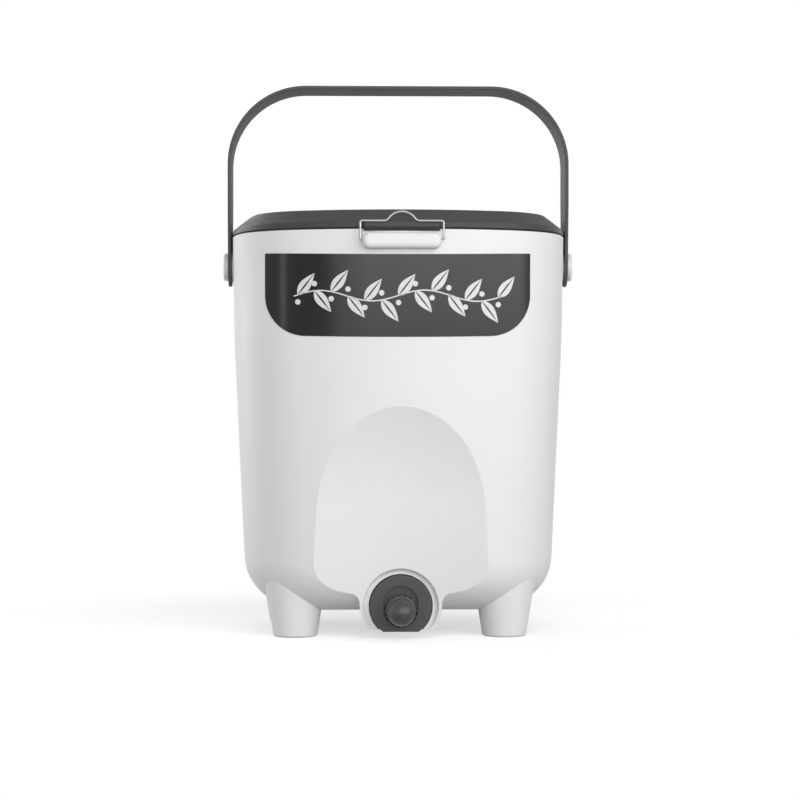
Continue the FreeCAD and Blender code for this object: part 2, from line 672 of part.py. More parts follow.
def rounded_path(points, radii):
    """Wire through corner points, each inner corner rounded by its own radius."""
    edges = []
    start = points[0]
    for before, corner, after, radius in zip(points, points[1:], points[2:], radii):
        back = (before - corner).normalize()
        ahead = (after - corner).normalize()
        half = back.getAngle(ahead) / 2
        reach = radius / math.tan(half)
        centre = corner + (back + ahead).normalize() * (radius / math.sin(half))
        leave = corner + back * reach
        join = corner + ahead * reach
        nearest = centre + (corner - centre).normalize() * radius
        edges.append(Part.makeLine(start, leave))
        edges.append(Part.Arc(leave, nearest, join).toShape())
        start = join
    edges.append(Part.makeLine(start, points[-1]))
    return Part.Wire(edges)


def latch_wire(side):
    """Wire bail with a finger arch, hung in the keeper's two holes."""
    y = side * LATCH_PLANE_Y
    leg_x = KEEPER_HALF_LENGTH + LEG_GAP + WIRE_BEND_RADIUS
    end_x = KEEPER_HALF_LENGTH - KEEPER_HOLE_DEPTH + WIRE_END_GAP
    bar_z = LID_RIDGE_Z
    peak_z = bar_z + ARCH_HALF_WIDTH * math.tan(math.radians(ARCH_SLOPE_DEG))
    half = [
        Vec(end_x, y, LATCH_PIVOT_Z),
        Vec(leg_x, y, LATCH_PIVOT_Z),
        Vec(leg_x, y, bar_z),
        Vec(ARCH_HALF_WIDTH, y, bar_z),
    ]
    points = half + [Vec(0, y, peak_z)] + [Vec(-p.x, p.y, p.z) for p in reversed(half)]
    bends = [WIRE_BEND_RADIUS, WIRE_BEND_RADIUS, ARCH_BLEND_RADIUS]
    path = rounded_path(points, bends + [ARCH_RADIUS] + list(reversed(bends)))
    circle = Part.Wire(Part.makeCircle(WIRE_RADIUS, points[0], X_DIR))
    return path.makePipeShell([circle], True, True)


def front_label():
    """Thin film on the front wall, square at the top and round at its lower corners."""
    top_z = RIM_Z - LABEL_DROP
    low_z = top_z - LABEL_HEIGHT
    margin = LABEL_CORNER_RADIUS
    skin = tapered_block(-LABEL_GLUE - LABEL_THICKNESS, low_z - margin, top_z + margin)
    skin = skin.cut(tapered_block(-LABEL_GLUE, low_z - margin, top_z + margin))
    left_x = LABEL_CENTRE_X - LABEL_HALF_WIDTH
    right_x = LABEL_CENTRE_X + LABEL_HALF_WIDTH
    far_y = -RIM_HALF_DEPTH - margin

    def at(x, z):
        return Vec(x, far_y, z)

    end_top_z = top_z + LABEL_EDGE_RISE
    end_low_z = low_z + LABEL_EDGE_RISE
    outline = [
        Part.Arc(at(left_x, end_top_z), at(LABEL_CENTRE_X, top_z), at(right_x, end_top_z)).toShape(),
        Part.makeLine(at(right_x, end_top_z), at(right_x, end_low_z)),
        Part.Arc(at(right_x, end_low_z), at(LABEL_CENTRE_X, low_z), at(left_x, end_low_z)).toShape(),
        Part.makeLine(at(left_x, end_low_z), at(left_x, end_top_z)),
    ]
    panel = Part.Face(Part.Wire(outline)).extrude(Y_DIR * RIM_HALF_DEPTH)
    lower = [e for e in panel.Edges if e.BoundBox.YLength > margin and e.BoundBox.ZMax < end_low_z + 1]
    return skin.common(panel.makeFillet(LABEL_CORNER_RADIUS, lower))


def strainer():
    """Perforated plate on four legs that stands on the floor of the bin."""
    plate_z = FLOOR_Z + STRAINER_HEIGHT - STRAINER_THICKNESS
    inset = wall_inset(plate_z) + WALL + STRAINER_GAP
    scoop = niche_cutter(WALL + STRAINER_GAP)
    hole_scoop = niche_cutter(WALL + STRAINER_GAP + HOLE_EDGE)
    rim = Part.Face(plan_wire(inset, plate_z)).extrude(Z_DIR * STRAINER_THICKNESS).cut(scoop)
    safe = Part.Face(plan_wire(inset + HOLE_EDGE, plate_z)).cut(hole_scoop)
    columns = int(RIM_HALF_WIDTH / HOLE_PITCH)
    rows = int(RIM_HALF_DEPTH / HOLE_PITCH)
    holes = []
    for row in range(-rows, rows + 1):
        for column in range(-columns, columns + 1):
            centre = Vec(column * HOLE_PITCH, row * HOLE_PITCH, plate_z)
            if safe.isInside(centre, 1e-3, True) and clear_of_legs(centre):
                holes.append(Part.makeCylinder(HOLE_RADIUS, STRAINER_THICKNESS, centre, Z_DIR))
    plate = rim.cut(holes)
    legs = []
    for sign_x in (-1, 1):
        for sign_y in (-1, 1):
            base = Vec(sign_x * STRAINER_LEG_X, sign_y * STRAINER_LEG_Y, FLOOR_Z)
            legs.append(Part.makeCylinder(STRAINER_LEG_RADIUS, plate_z - FLOOR_Z, base, Z_DIR))
    return plate.fuse(legs).removeSplitter()


def clear_of_legs(centre):
    """True where a drain hole doesn't run into one of the strainer's legs."""
    across = abs(centre.x) - STRAINER_LEG_X
    along = abs(centre.y) - STRAINER_LEG_Y
    return math.hypot(across, along) > STRAINER_LEG_RADIUS + HOLE_RADIUS


def tap_housing():
    """Round tap face with a flat bottom, a dish and an outlet port, on a barrel through the wall."""
    face = cylinder_y(DIAL_RADIUS, DIAL_FRONT_Y, DIAL_BACK_Y, BOSS_Z)
    below = box_between(Vec(-DIAL_RADIUS, -RIM_HALF_DEPTH, -DIAL_RADIUS), Vec(DIAL_RADIUS, 0, DIAL_FLAT_Z))
    face = face.cut(below)
    front = edges_at(face, lambda mid: abs(mid.y - DIAL_FRONT_Y) < 1e-3)
    face = face.makeFillet(DIAL_EDGE_FILLET, front)
    dish = cylinder_y(DISH_RADIUS, DIAL_FRONT_Y, DISH_FLOOR_Y, TAP_AXIS_Z + DISH_RISE)
    seat_radius = COLLAR_RADIUS + COLLAR_RIB_RADIUS + COLLAR_SEAT_GAP
    seat = cylinder_y(seat_radius, DIAL_FRONT_Y, DISH_FLOOR_Y, TAP_AXIS_Z)
    barrel = cylinder_y(BARREL_RADIUS, DIAL_BACK_Y, BARREL_END_Y, TAP_AXIS_Z)
    bore = cylinder_y(PLUG_RADIUS + RUNNING_FIT, DIAL_FRONT_Y, BARREL_END_Y, TAP_AXIS_Z)
    port = Part.makeCylinder(PORT_RADIUS, TAP_AXIS_Z, Vec(0, PORT_Y, 0), Z_DIR)
    return face.fuse(barrel).cut([dish, seat, bore, port]).removeSplitter()


def o_ring_starts():
    """Places along Y where the plug's two seals begin."""
    first = PORT_Y + PORT_RADIUS + O_RING_SPACING
    return [first, first + O_RING_SPACING]


def tap_plug():
    """Hollow plug, open at its inner end, with one side port and grooves for its seals and clip."""
    plug = cylinder_y(PLUG_RADIUS, PLUG_FRONT_Y, PLUG_END_Y, TAP_AXIS_Z)
    bore = cylinder_y(PLUG_BORE_RADIUS, PORT_Y - PORT_RADIUS - PORT_LAND, PLUG_END_Y, TAP_AXIS_Z)
    port = cylinder_x(PORT_RADIUS, 0, PLUG_RADIUS + 1, PORT_Y, TAP_AXIS_Z)
    grooves = [
        ring_y(PLUG_RADIUS + 1, O_RING_INNER_RADIUS, start, start + O_RING_THICKNESS, TAP_AXIS_Z)
        for start in o_ring_starts()
    ]
    clip = ring_y(PLUG_RADIUS + 1, O_RING_INNER_RADIUS, RETAINER_Y, RETAINER_END_Y, TAP_AXIS_Z)
    return plug.cut([bore, port, clip] + grooves)


def tap_o_rings():
    """Two seals that fill the plug's grooves."""
    rings = [
        ring_y(PLUG_RADIUS, O_RING_INNER_RADIUS, start, start + O_RING_THICKNESS, TAP_AXIS_Z)
        for start in o_ring_starts()
    ]
    return Part.makeCompound(rings)


def tap_retainer():
    """Clip in the plug's last groove, just behind the barrel."""
    return ring_y(RETAINER_RADIUS, O_RING_INNER_RADIUS, RETAINER_Y, RETAINER_END_Y, TAP_AXIS_Z)


def tap_knob():
    """Ribbed collar, neck and ball nose on the front end of the plug."""
    back_y = DISH_FLOOR_Y - COLLAR_GAP
    collar_y = back_y - COLLAR_LENGTH
    ball_y = TAP_FACE_Y - KNOB_REACH + KNOB_BALL_RADIUS
    collar = cylinder_y(COLLAR_RADIUS, collar_y, back_y, TAP_AXIS_Z)
    rim = edges_at(collar, lambda mid: abs(mid.y - collar_y) < 1e-3)
    collar = collar.makeFillet(COLLAR_FILLET, rim)
    ribs = []
    for index in range(COLLAR_RIBS):
        angle = 2 * math.pi * index / COLLAR_RIBS
        across = COLLAR_RADIUS * math.cos(angle)
        base = Vec(across, collar_y + COLLAR_FILLET, TAP_AXIS_Z + COLLAR_RADIUS * math.sin(angle))
        rib = Part.makeCylinder(COLLAR_RIB_RADIUS, COLLAR_LENGTH - COLLAR_FILLET, base, Y_DIR)
        ribs.append(rib.fuse(Part.makeSphere(COLLAR_RIB_RADIUS, base)))
    neck = cylinder_y(KNOB_NECK_RADIUS, ball_y, collar_y + 1, TAP_AXIS_Z)
    ball = Part.makeSphere(KNOB_BALL_RADIUS, Vec(0, ball_y, TAP_AXIS_Z))
    knob = collar.fuse(ribs + [neck, ball])
    socket = cylinder_y(PLUG_RADIUS + RUNNING_FIT, PLUG_FRONT_Y, back_y + 1, TAP_AXIS_Z)
    return knob.cut(socket).removeSplitter()


def tap_gasket():
    """Flat seal between the tap face and the floor of its recess."""
    disc = ring_y(GASKET_RADIUS, BARREL_RADIUS + BARREL_FIT, DIAL_BACK_Y, RECESS_FLOOR_Y, TAP_AXIS_Z)
    below = box_between(Vec(-DIAL_RADIUS, -RIM_HALF_DEPTH, -DIAL_RADIUS), Vec(DIAL_RADIUS, 0, BOSS_FLAT_Z))
    return disc.cut(below)


def tap_washer():
    """Washer under the lock nut, inside the bin."""
    end = TONGUE_BACK_Y + TAP_WASHER_THICKNESS
    return ring_y(TAP_WASHER_RADIUS, BARREL_RADIUS + BARREL_FIT, TONGUE_BACK_Y, end, TAP_AXIS_Z)


def tap_lock_nut():
    """Six-sided nut on the tap's barrel."""
    start = TONGUE_BACK_Y + TAP_WASHER_THICKNESS
    corners = []
    for index in range(7):
        angle = math.pi * index / 3
        across = NUT_CORNER_RADIUS * math.cos(angle)
        up = NUT_CORNER_RADIUS * math.sin(angle)
        corners.append(Vec(across, start, TAP_AXIS_Z + up))
    hexagon = Part.Face(Part.makePolygon(corners)).extrude(Y_DIR * NUT_HEIGHT)
    return hexagon.cut(cylinder_y(BARREL_RADIUS + RUNNING_FIT, start, start + NUT_HEIGHT, TAP_AXIS_Z))


def build():
    """Every piece of the bin by name."""
    pieces = {
        "bin_body": bin_body(),
        "lid": lid(),
        "lid_seal": lid_seal(),
        "handle": handle(),
        "front_latch_wire": latch_wire(FRONT_SIDE),
        "rear_latch_wire": latch_wire(REAR_SIDE),
        "front_label": front_label(),
        "strainer": strainer(),
        "tap_housing": tap_housing(),
        "tap_knob": tap_knob(),
        "tap_plug": tap_plug(),
        "tap_o_rings": tap_o_rings(),
        "tap_retainer": tap_retainer(),
        "tap_gasket": tap_gasket(),
        "tap_washer": tap_washer(),
        "tap_lock_nut": tap_lock_nut(),
    }
    for name, shape in pivot_pieces().items():
        pieces["right_" + name] = shape
        pieces["left_" + name] = mirrored(shape)
    return pieces


def main():
    """Write one file for each piece and say what it holds."""
    os.makedirs("parts", exist_ok=True)
    for name, shape in build().items():
        box = shape.BoundBox
        size = f"{box.XLength:.1f} x {box.YLength:.1f} x {box.ZLength:.1f} mm"
        volume = f"{shape.Volume / 1000:.2f} cm3"
        print(f"{name}: {len(shape.Solids)} solid(s), valid {shape.isValid()}, {volume}, {size}")
        shape.exportStep(os.path.join("parts", name + ".step"))


main()
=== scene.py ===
"""Studio scene of a kitchen bokashi bin: finishes, printed panel, light and camera."""

import logging
import math
from dataclasses import dataclass, field
from enum import Enum
from typing import Any

import bmesh
import bpy
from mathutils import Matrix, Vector
from mathutils.bvhtree import BVHTree


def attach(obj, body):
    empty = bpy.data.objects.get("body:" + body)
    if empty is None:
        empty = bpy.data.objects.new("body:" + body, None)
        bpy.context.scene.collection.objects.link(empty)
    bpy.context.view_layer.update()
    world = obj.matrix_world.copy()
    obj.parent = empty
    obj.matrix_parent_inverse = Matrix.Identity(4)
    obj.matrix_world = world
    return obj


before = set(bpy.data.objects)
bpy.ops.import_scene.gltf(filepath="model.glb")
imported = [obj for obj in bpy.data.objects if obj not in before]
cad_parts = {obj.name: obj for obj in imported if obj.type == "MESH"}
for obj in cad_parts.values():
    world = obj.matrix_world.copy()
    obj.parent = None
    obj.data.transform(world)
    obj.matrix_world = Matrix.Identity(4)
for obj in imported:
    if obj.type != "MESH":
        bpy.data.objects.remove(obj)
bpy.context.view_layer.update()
LOG = logging.getLogger("bokashi_bin")
MM = 0.001

Material = bpy.types.Material
Mesh = bpy.types.Mesh
Node = bpy.types.Node
Socket = bpy.types.NodeSocket
Sockets = bpy.types.bpy_prop_collection
Tree = bpy.types.NodeTree


class Slot(Enum):
    """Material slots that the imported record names."""

    WHITE = "white_plastic"
    CHARCOAL = "charcoal_plastic"
    FILM = "label_film"
    GREY = "grey_plastic"
    TAP = "tap_plastic"
    STRAINER = "strainer_plastic"
    RUBBER = "seal_rubber"
    WIRE = "bright_wire"


def linear(code: str) -> tuple[float, float, float, float]:
    """Turn an sRGB hex colour into linear colour.

    Args:
        code: Colour such as "#E6E6E4".

    Returns:
        Red, green, blue and full alpha, linear.
    """
    levels = [int(code[place:place + 2], 16) / 255 for place in (1, 3, 5)]
    parts = [level / 12.92 if level <= 0.04045 else ((level + 0.055) / 1.055) ** 2.4 for level in levels]
    return (parts[0], parts[1], parts[2], 1.0)


def add_node(
    tree: Tree,
    kind: str,
    settings: dict[Any, Any] | None = None,
    links: dict[Any, Socket] | None = None,
) -> Node:
    """Add one node with its settings and incoming links.

    Args:
        tree: Node tree that takes the node.
        kind: Blender's name for the kind of node.
        settings: Values by property name, or by input name or number.
        links: Source sockets by input name or number.

    Returns:
        The new node.
    """
    node = tree.nodes.new(kind)
    for key, value in (settings or {}).items():
        if isinstance(key, int) or key in node.inputs:
            node.inputs[key].default_value = value
        else:
            setattr(node, key, value)
    for key, source in (links or {}).items():
        tree.links.new(source, node.inputs[key])
    return node


def per_metre(size_mm: float) -> float:
    """Texture scale at which one feature is size_mm wide in object space."""
    return 1 / (size_mm * MM)


@dataclass(frozen=True)
class MouldedPlastic:
    """Injection-moulded plastic, with the eroded grain of its mould and a slow drift in tone."""

    name: str
    colour: str
    tint: str
    roughness: float
    specular: float = 0.5
    ior: float = 1.49
    grain_mm: float = 1.1
    grain_height_mm: float = 0.02
    cloud_mm: float = 60.0
    gloss_drift: float = 0.05

    def make(self) -> Material:
        """Build the material.

        Returns:
            The finished material.
        """
        material = bpy.data.materials.new(self.name)
        material.use_nodes = True
        tree = material.node_tree
        shader = tree.nodes["Principled BSDF"]
        shader.inputs["IOR"].default_value = self.ior
        shader.inputs["Specular IOR Level"].default_value = self.specular
        place = add_node(tree, "ShaderNodeTexCoord").outputs["Object"]
        cloud_settings = {"Scale": per_metre(self.cloud_mm), "Detail": 3.0}
        cloud = add_node(tree, "ShaderNodeTexNoise", cloud_settings, {"Vector": place}).outputs["Fac"]
        tone_settings = {"data_type": "RGBA", 6: linear(self.colour), 7: linear(self.tint)}
        tone = add_node(tree, "ShaderNodeMix", tone_settings, {0: cloud})
        tree.links.new(tone.outputs[2], shader.inputs["Base Color"])
        gloss_settings = {
            "To Min": self.roughness - self.gloss_drift,
            "To Max": self.roughness + self.gloss_drift,
        }
        gloss = add_node(tree, "ShaderNodeMapRange", gloss_settings, {"Value": cloud})
        tree.links.new(gloss.outputs["Result"], shader.inputs["Roughness"])
        # The mould's grain is finer than a pixel, so it is drawn about a millimetre wide.
        grain_settings = {"Scale": per_metre(self.grain_mm), "Detail": 2.0, "Roughness": 0.6}
        grain = add_node(tree, "ShaderNodeTexNoise", grain_settings, {"Vector": place}).outputs["Fac"]
        bump_settings = {"Strength": 1.0, "Distance": self.grain_height_mm * MM}
        bump = add_node(tree, "ShaderNodeBump", bump_settings, {"Height": grain})
        tree.links.new(bump.outputs["Normal"], shader.inputs["Normal"])
        return material


@dataclass(frozen=True)
class DrawnSteel:
    """Bright drawn steel wire: hard reflections, broken by the fine marks of the die."""

    name: str = "drawn_bright_steel"
    colour: str = "#949597"
    stain: str = "#7E8083"
    roughness: float = 0.2
    mark_mm: float = 1.6
    mark_height_mm: float = 0.01
    polish: float = 0.7
    wear: float = 1.5

    def make(self) -> Material:
        """Build the material.

        Returns:
            The finished material.
        """
        material = bpy.data.materials.new(self.name)
        material.use_nodes = True
        tree = material.node_tree
        shader = tree.nodes["Principled BSDF"]
        shader.inputs["Metallic"].default_value = 1.0
        place = add_node(tree, "ShaderNodeTexCoord").outputs["Object"]
        mark_settings = {"Scale": per_metre(self.mark_mm), "Detail": 4.0}
        mark = add_node(tree, "ShaderNodeTexNoise", mark_settings, {"Vector": place}).outputs["Fac"]
        tone_settings = {"data_type": "RGBA", 6: linear(self.colour), 7: linear(self.stain)}
        tone = add_node(tree, "ShaderNodeMix", tone_settings, {0: mark})
        tree.links.new(tone.outputs[2], shader.inputs["Base Color"])
        gloss_settings = {"To Min": self.roughness * self.polish, "To Max": self.roughness * self.wear}
        gloss = add_node(tree, "ShaderNodeMapRange", gloss_settings, {"Value": mark})
        tree.links.new(gloss.outputs["Result"], shader.inputs["Roughness"])
        bump_settings = {"Strength": 1.0, "Distance": self.mark_height_mm * MM}
        bump = add_node(tree, "ShaderNodeBump", bump_settings, {"Height": mark})
        tree.links.new(bump.outputs["Normal"], shader.inputs["Normal"])
        return material


@dataclass(frozen=True)
class StudioPaper:
    """Pale matt paper under the bin, white to the camera away from the bin's shadow."""

    name: str = "matt_studio_paper"
    colour: str = "#B9B9B8"
    fibre: str = "#B2B2B0"
    fibre_mm: float = 3.0
    roughness: float = 0.5
    lift: float = 0.58
    shade_reach_mm: float = 200.0
    white_reach_mm: float = 480.0

    def make(self) -> Material:
        """Build the material.

        Returns:
            The finished material.
        """
        material = bpy.data.materials.new(self.name)
        material.use_nodes = True
        tree = material.node_tree
        tree.nodes.remove(tree.nodes["Principled BSDF"])
        place = add_node(tree, "ShaderNodeTexCoord").outputs["Object"]
        fibre_settings = {"Scale": per_metre(self.fibre_mm), "Detail": 3.0}
        fibre = add_node(tree, "ShaderNodeTexNoise", fibre_settings, {"Vector": place}).outputs["Fac"]
        tone_settings = {"data_type": "RGBA", 6: linear(self.colour), 7: linear(self.fibre)}
        tone = add_node(tree, "ShaderNodeMix", tone_settings, {0: fibre})
        paper_settings = {"Roughness": self.roughness}
        paper = add_node(tree, "ShaderNodeBsdfDiffuse", paper_settings, {"Color": tone.outputs[2]})
        glow = add_node(tree, "ShaderNodeEmission", {"Strength": self.lift})
        lifted = add_node(tree, "ShaderNodeAddShader", {}, {0: paper.outputs[0], 1: glow.outputs[0]})
        white = add_node(tree, "ShaderNodeEmission", {"Strength": 1.0})
        away = add_node(tree, "ShaderNodeVectorMath", {"operation": "LENGTH"}, {0: place})
        fade_settings = {
            "interpolation_type": "SMOOTHSTEP",
            "From Min": self.shade_reach_mm * MM,
            "From Max": self.white_reach_mm * MM,
        }
        fade = add_node(tree, "ShaderNodeMapRange", fade_settings, {"Value": away.outputs["Value"]})
        seen_links = {0: fade.outputs["Result"], 1: lifted.outputs[0], 2: white.outputs[0]}
        seen = add_node(tree, "ShaderNodeMixShader", {}, seen_links)
        path = add_node(tree, "ShaderNodeLightPath").outputs
        shown_links = {0: path["Is Camera Ray"], 1: path["Is Glossy Ray"]}
        shown = add_node(tree, "ShaderNodeMath", {"operation": "MAXIMUM"}, shown_links)
        shown_links = {0: shown.outputs[0], 1: path["Is Transmission Ray"]}
        shown = add_node(tree, "ShaderNodeMath", {"operation": "MAXIMUM"}, shown_links)
        both_links = {0: shown.outputs[0], 1: paper.outputs[0], 2: seen.outputs[0]}
        both = add_node(tree, "ShaderNodeMixShader", {}, both_links)
        tree.links.new(both.outputs[0], tree.nodes["Material Output"].inputs["Surface"])
        return material


@dataclass(frozen=True)
class GlossFilm:
    """Printed plastic film: dark, glossy, with the faint orange peel of its varnish."""

    name: str = "varnished_polyester_film"
    colour: str = "#0E0E0E"
    tint: str = "#121212"
    roughness: float = 0.2
    specular: float = 0.28
    ior: float = 1.5
    peel_mm: float = 4.0
    peel_height_mm: float = 0.006
    cloud_mm: float = 35.0
    gloss_drift: float = 0.03

    def make(self) -> Material:
        """Build the material.

        Returns:
            The finished material.
        """
        material = bpy.data.materials.new(self.name)
        material.use_nodes = True
        tree = material.node_tree
        shader = tree.nodes["Principled BSDF"]
        shader.inputs["IOR"].default_value = self.ior
        shader.inputs["Specular IOR Level"].default_value = self.specular
        place = add_node(tree, "ShaderNodeTexCoord").outputs["Object"]
        cloud_settings = {"Scale": per_metre(self.cloud_mm), "Detail": 4.0}
        cloud = add_node(tree, "ShaderNodeTexNoise", cloud_settings, {"Vector": place}).outputs["Fac"]
        tone_settings = {"data_type": "RGBA", 6: linear(self.colour), 7: linear(self.tint)}
        tone = add_node(tree, "ShaderNodeMix", tone_settings, {0: cloud})
        tree.links.new(tone.outputs[2], shader.inputs["Base Color"])
        gloss_settings = {
            "To Min": self.roughness - self.gloss_drift,
            "To Max": self.roughness + self.gloss_drift,
        }
        gloss = add_node(tree, "ShaderNodeMapRange", gloss_settings, {"Value": cloud})
        tree.links.new(gloss.outputs["Result"], shader.inputs["Roughness"])
        peel_settings = {"Scale": per_metre(self.peel_mm), "Detail": 1.0}
        peel = add_node(tree, "ShaderNodeTexNoise", peel_settings, {"Vector": place}).outputs["Fac"]
        bump_settings = {"Strength": 1.0, "Distance": self.peel_height_mm * MM}
        bump = add_node(tree, "ShaderNodeBump", bump_settings, {"Height": peel})
        tree.links.new(bump.outputs["Normal"], shader.inputs["Normal"])
        return material


# Polypropylene, moulded: pale grey white with a satin skin that spreads the lamps into soft bands.
WHITE_POLYPROPYLENE = MouldedPlastic("moulded_white_polypropylene", "#E9E9E7", "#E5E5E4", 0.46, 0.4)
# Polypropylene with carbon black: charcoal, satin, a shade lighter where it faces the lamps.
CHARCOAL_POLYPROPYLENE = MouldedPlastic("moulded_charcoal_polypropylene", "#3A3A3A", "#3E3E3E", 0.46, 0.27)
# Glass-filled polypropylene: a dry, slightly lighter charcoal that holds little reflection on its flat faces.
STRAP_POLYPROPYLENE = MouldedPlastic("moulded_strap_polypropylene", "#4F4F4F", "#545454", 0.6, 0.2)
# Tap grade polypropylene: charcoal with a slightly tighter gloss, from a polished mould.
TAP_POLYPROPYLENE = MouldedPlastic(
    "moulded_tap_polypropylene", "#383838", "#3C3C3C", 0.34, 0.46, grain_height_mm=0.012
)
# Nylon, moulded: pale grey, dry looking, with small soft highlights on its rounded rims.
GREY_NYLON = MouldedPlastic("moulded_grey_nylon", "#DCDCDA", "#E0E0DE", 0.34, 0.5, 1.53, cloud_mm=12.0)
# Natural polypropylene: milky white plate that stays in the bin.
MILKY_POLYPROPYLENE = MouldedPlastic("moulded_natural_polypropylene", "#E0E0DC", "#D8D8D3", 0.42, 0.45)
# Moulded rubber: black and matt, with a dusty bloom.
SEAL_RUBBER = MouldedPlastic(
    "moulded_seal_rubber",
    "#1C1C1C",
    "#262626",
    roughness=0.8,
    specular=0.3,
    ior=1.52,
    grain_mm=0.8,
    grain_height_mm=0.04,
    cloud_mm=9.0,
    gloss_drift=0.08,
)
# Screen ink: light grey white, matt beside the film's varnish.
SCREEN_INK = MouldedPlastic(
    "screen_printed_ink",
    "#E4E4E2",
    "#D5D5D3",
    roughness=0.55,
    specular=0.35,
    ior=1.5,
    grain_mm=0.7,
    grain_height_mm=0.008,
    cloud_mm=3.0,
    gloss_drift=0.04,
)


def make_finishes() -> dict[Slot, Material]:
    """Build the finish of every material slot.

    Returns:
        Materials by slot.
    """
    return {
        Slot.WHITE: WHITE_POLYPROPYLENE.make(),
        Slot.CHARCOAL: CHARCOAL_POLYPROPYLENE.make(),
        Slot.FILM: GlossFilm().make(),
        Slot.GREY: GREY_NYLON.make(),
        Slot.TAP: TAP_POLYPROPYLENE.make(),
        Slot.STRAINER: MILKY_POLYPROPYLENE.make(),
        Slot.RUBBER: SEAL_RUBBER.make(),
        Slot.WIRE: DrawnSteel().make(),
    }


FINISHES = make_finishes()


def dress(node: str, slot: Slot, material: Material | None = None) -> None:
    """Give a CAD piece its finish.

    Args:
        node: Name of the CAD node.
        slot: Material slot whose finish it takes.
        material: Own finish, where it isn't the slot's.
    """
    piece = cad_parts[node]
    finish = material or FINISHES[slot]
    if not piece.material_slots:
        piece.data.materials.append(None)
    for place in piece.material_slots:
        place.material = finish
    LOG.info("dressed %s in %s", node, finish.name)


def place_mesh(name: str, mesh: Mesh, body: str, material: Material) -> None:
    """Put a finished mesh on a body.

    Args:
        name: Name of the new piece.
        mesh: Mesh with its place in its vertices.
        body: CAD body that it rides on.
        material: Its finish.
    """
    piece = bpy.data.objects.new(name, mesh)
    bpy.context.scene.collection.objects.link(piece)
    mesh.materials.clear()
    mesh.materials.append(material)
    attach(piece, body)
    LOG.info("built %s: %d faces on %s", name, len(mesh.polygons), body)


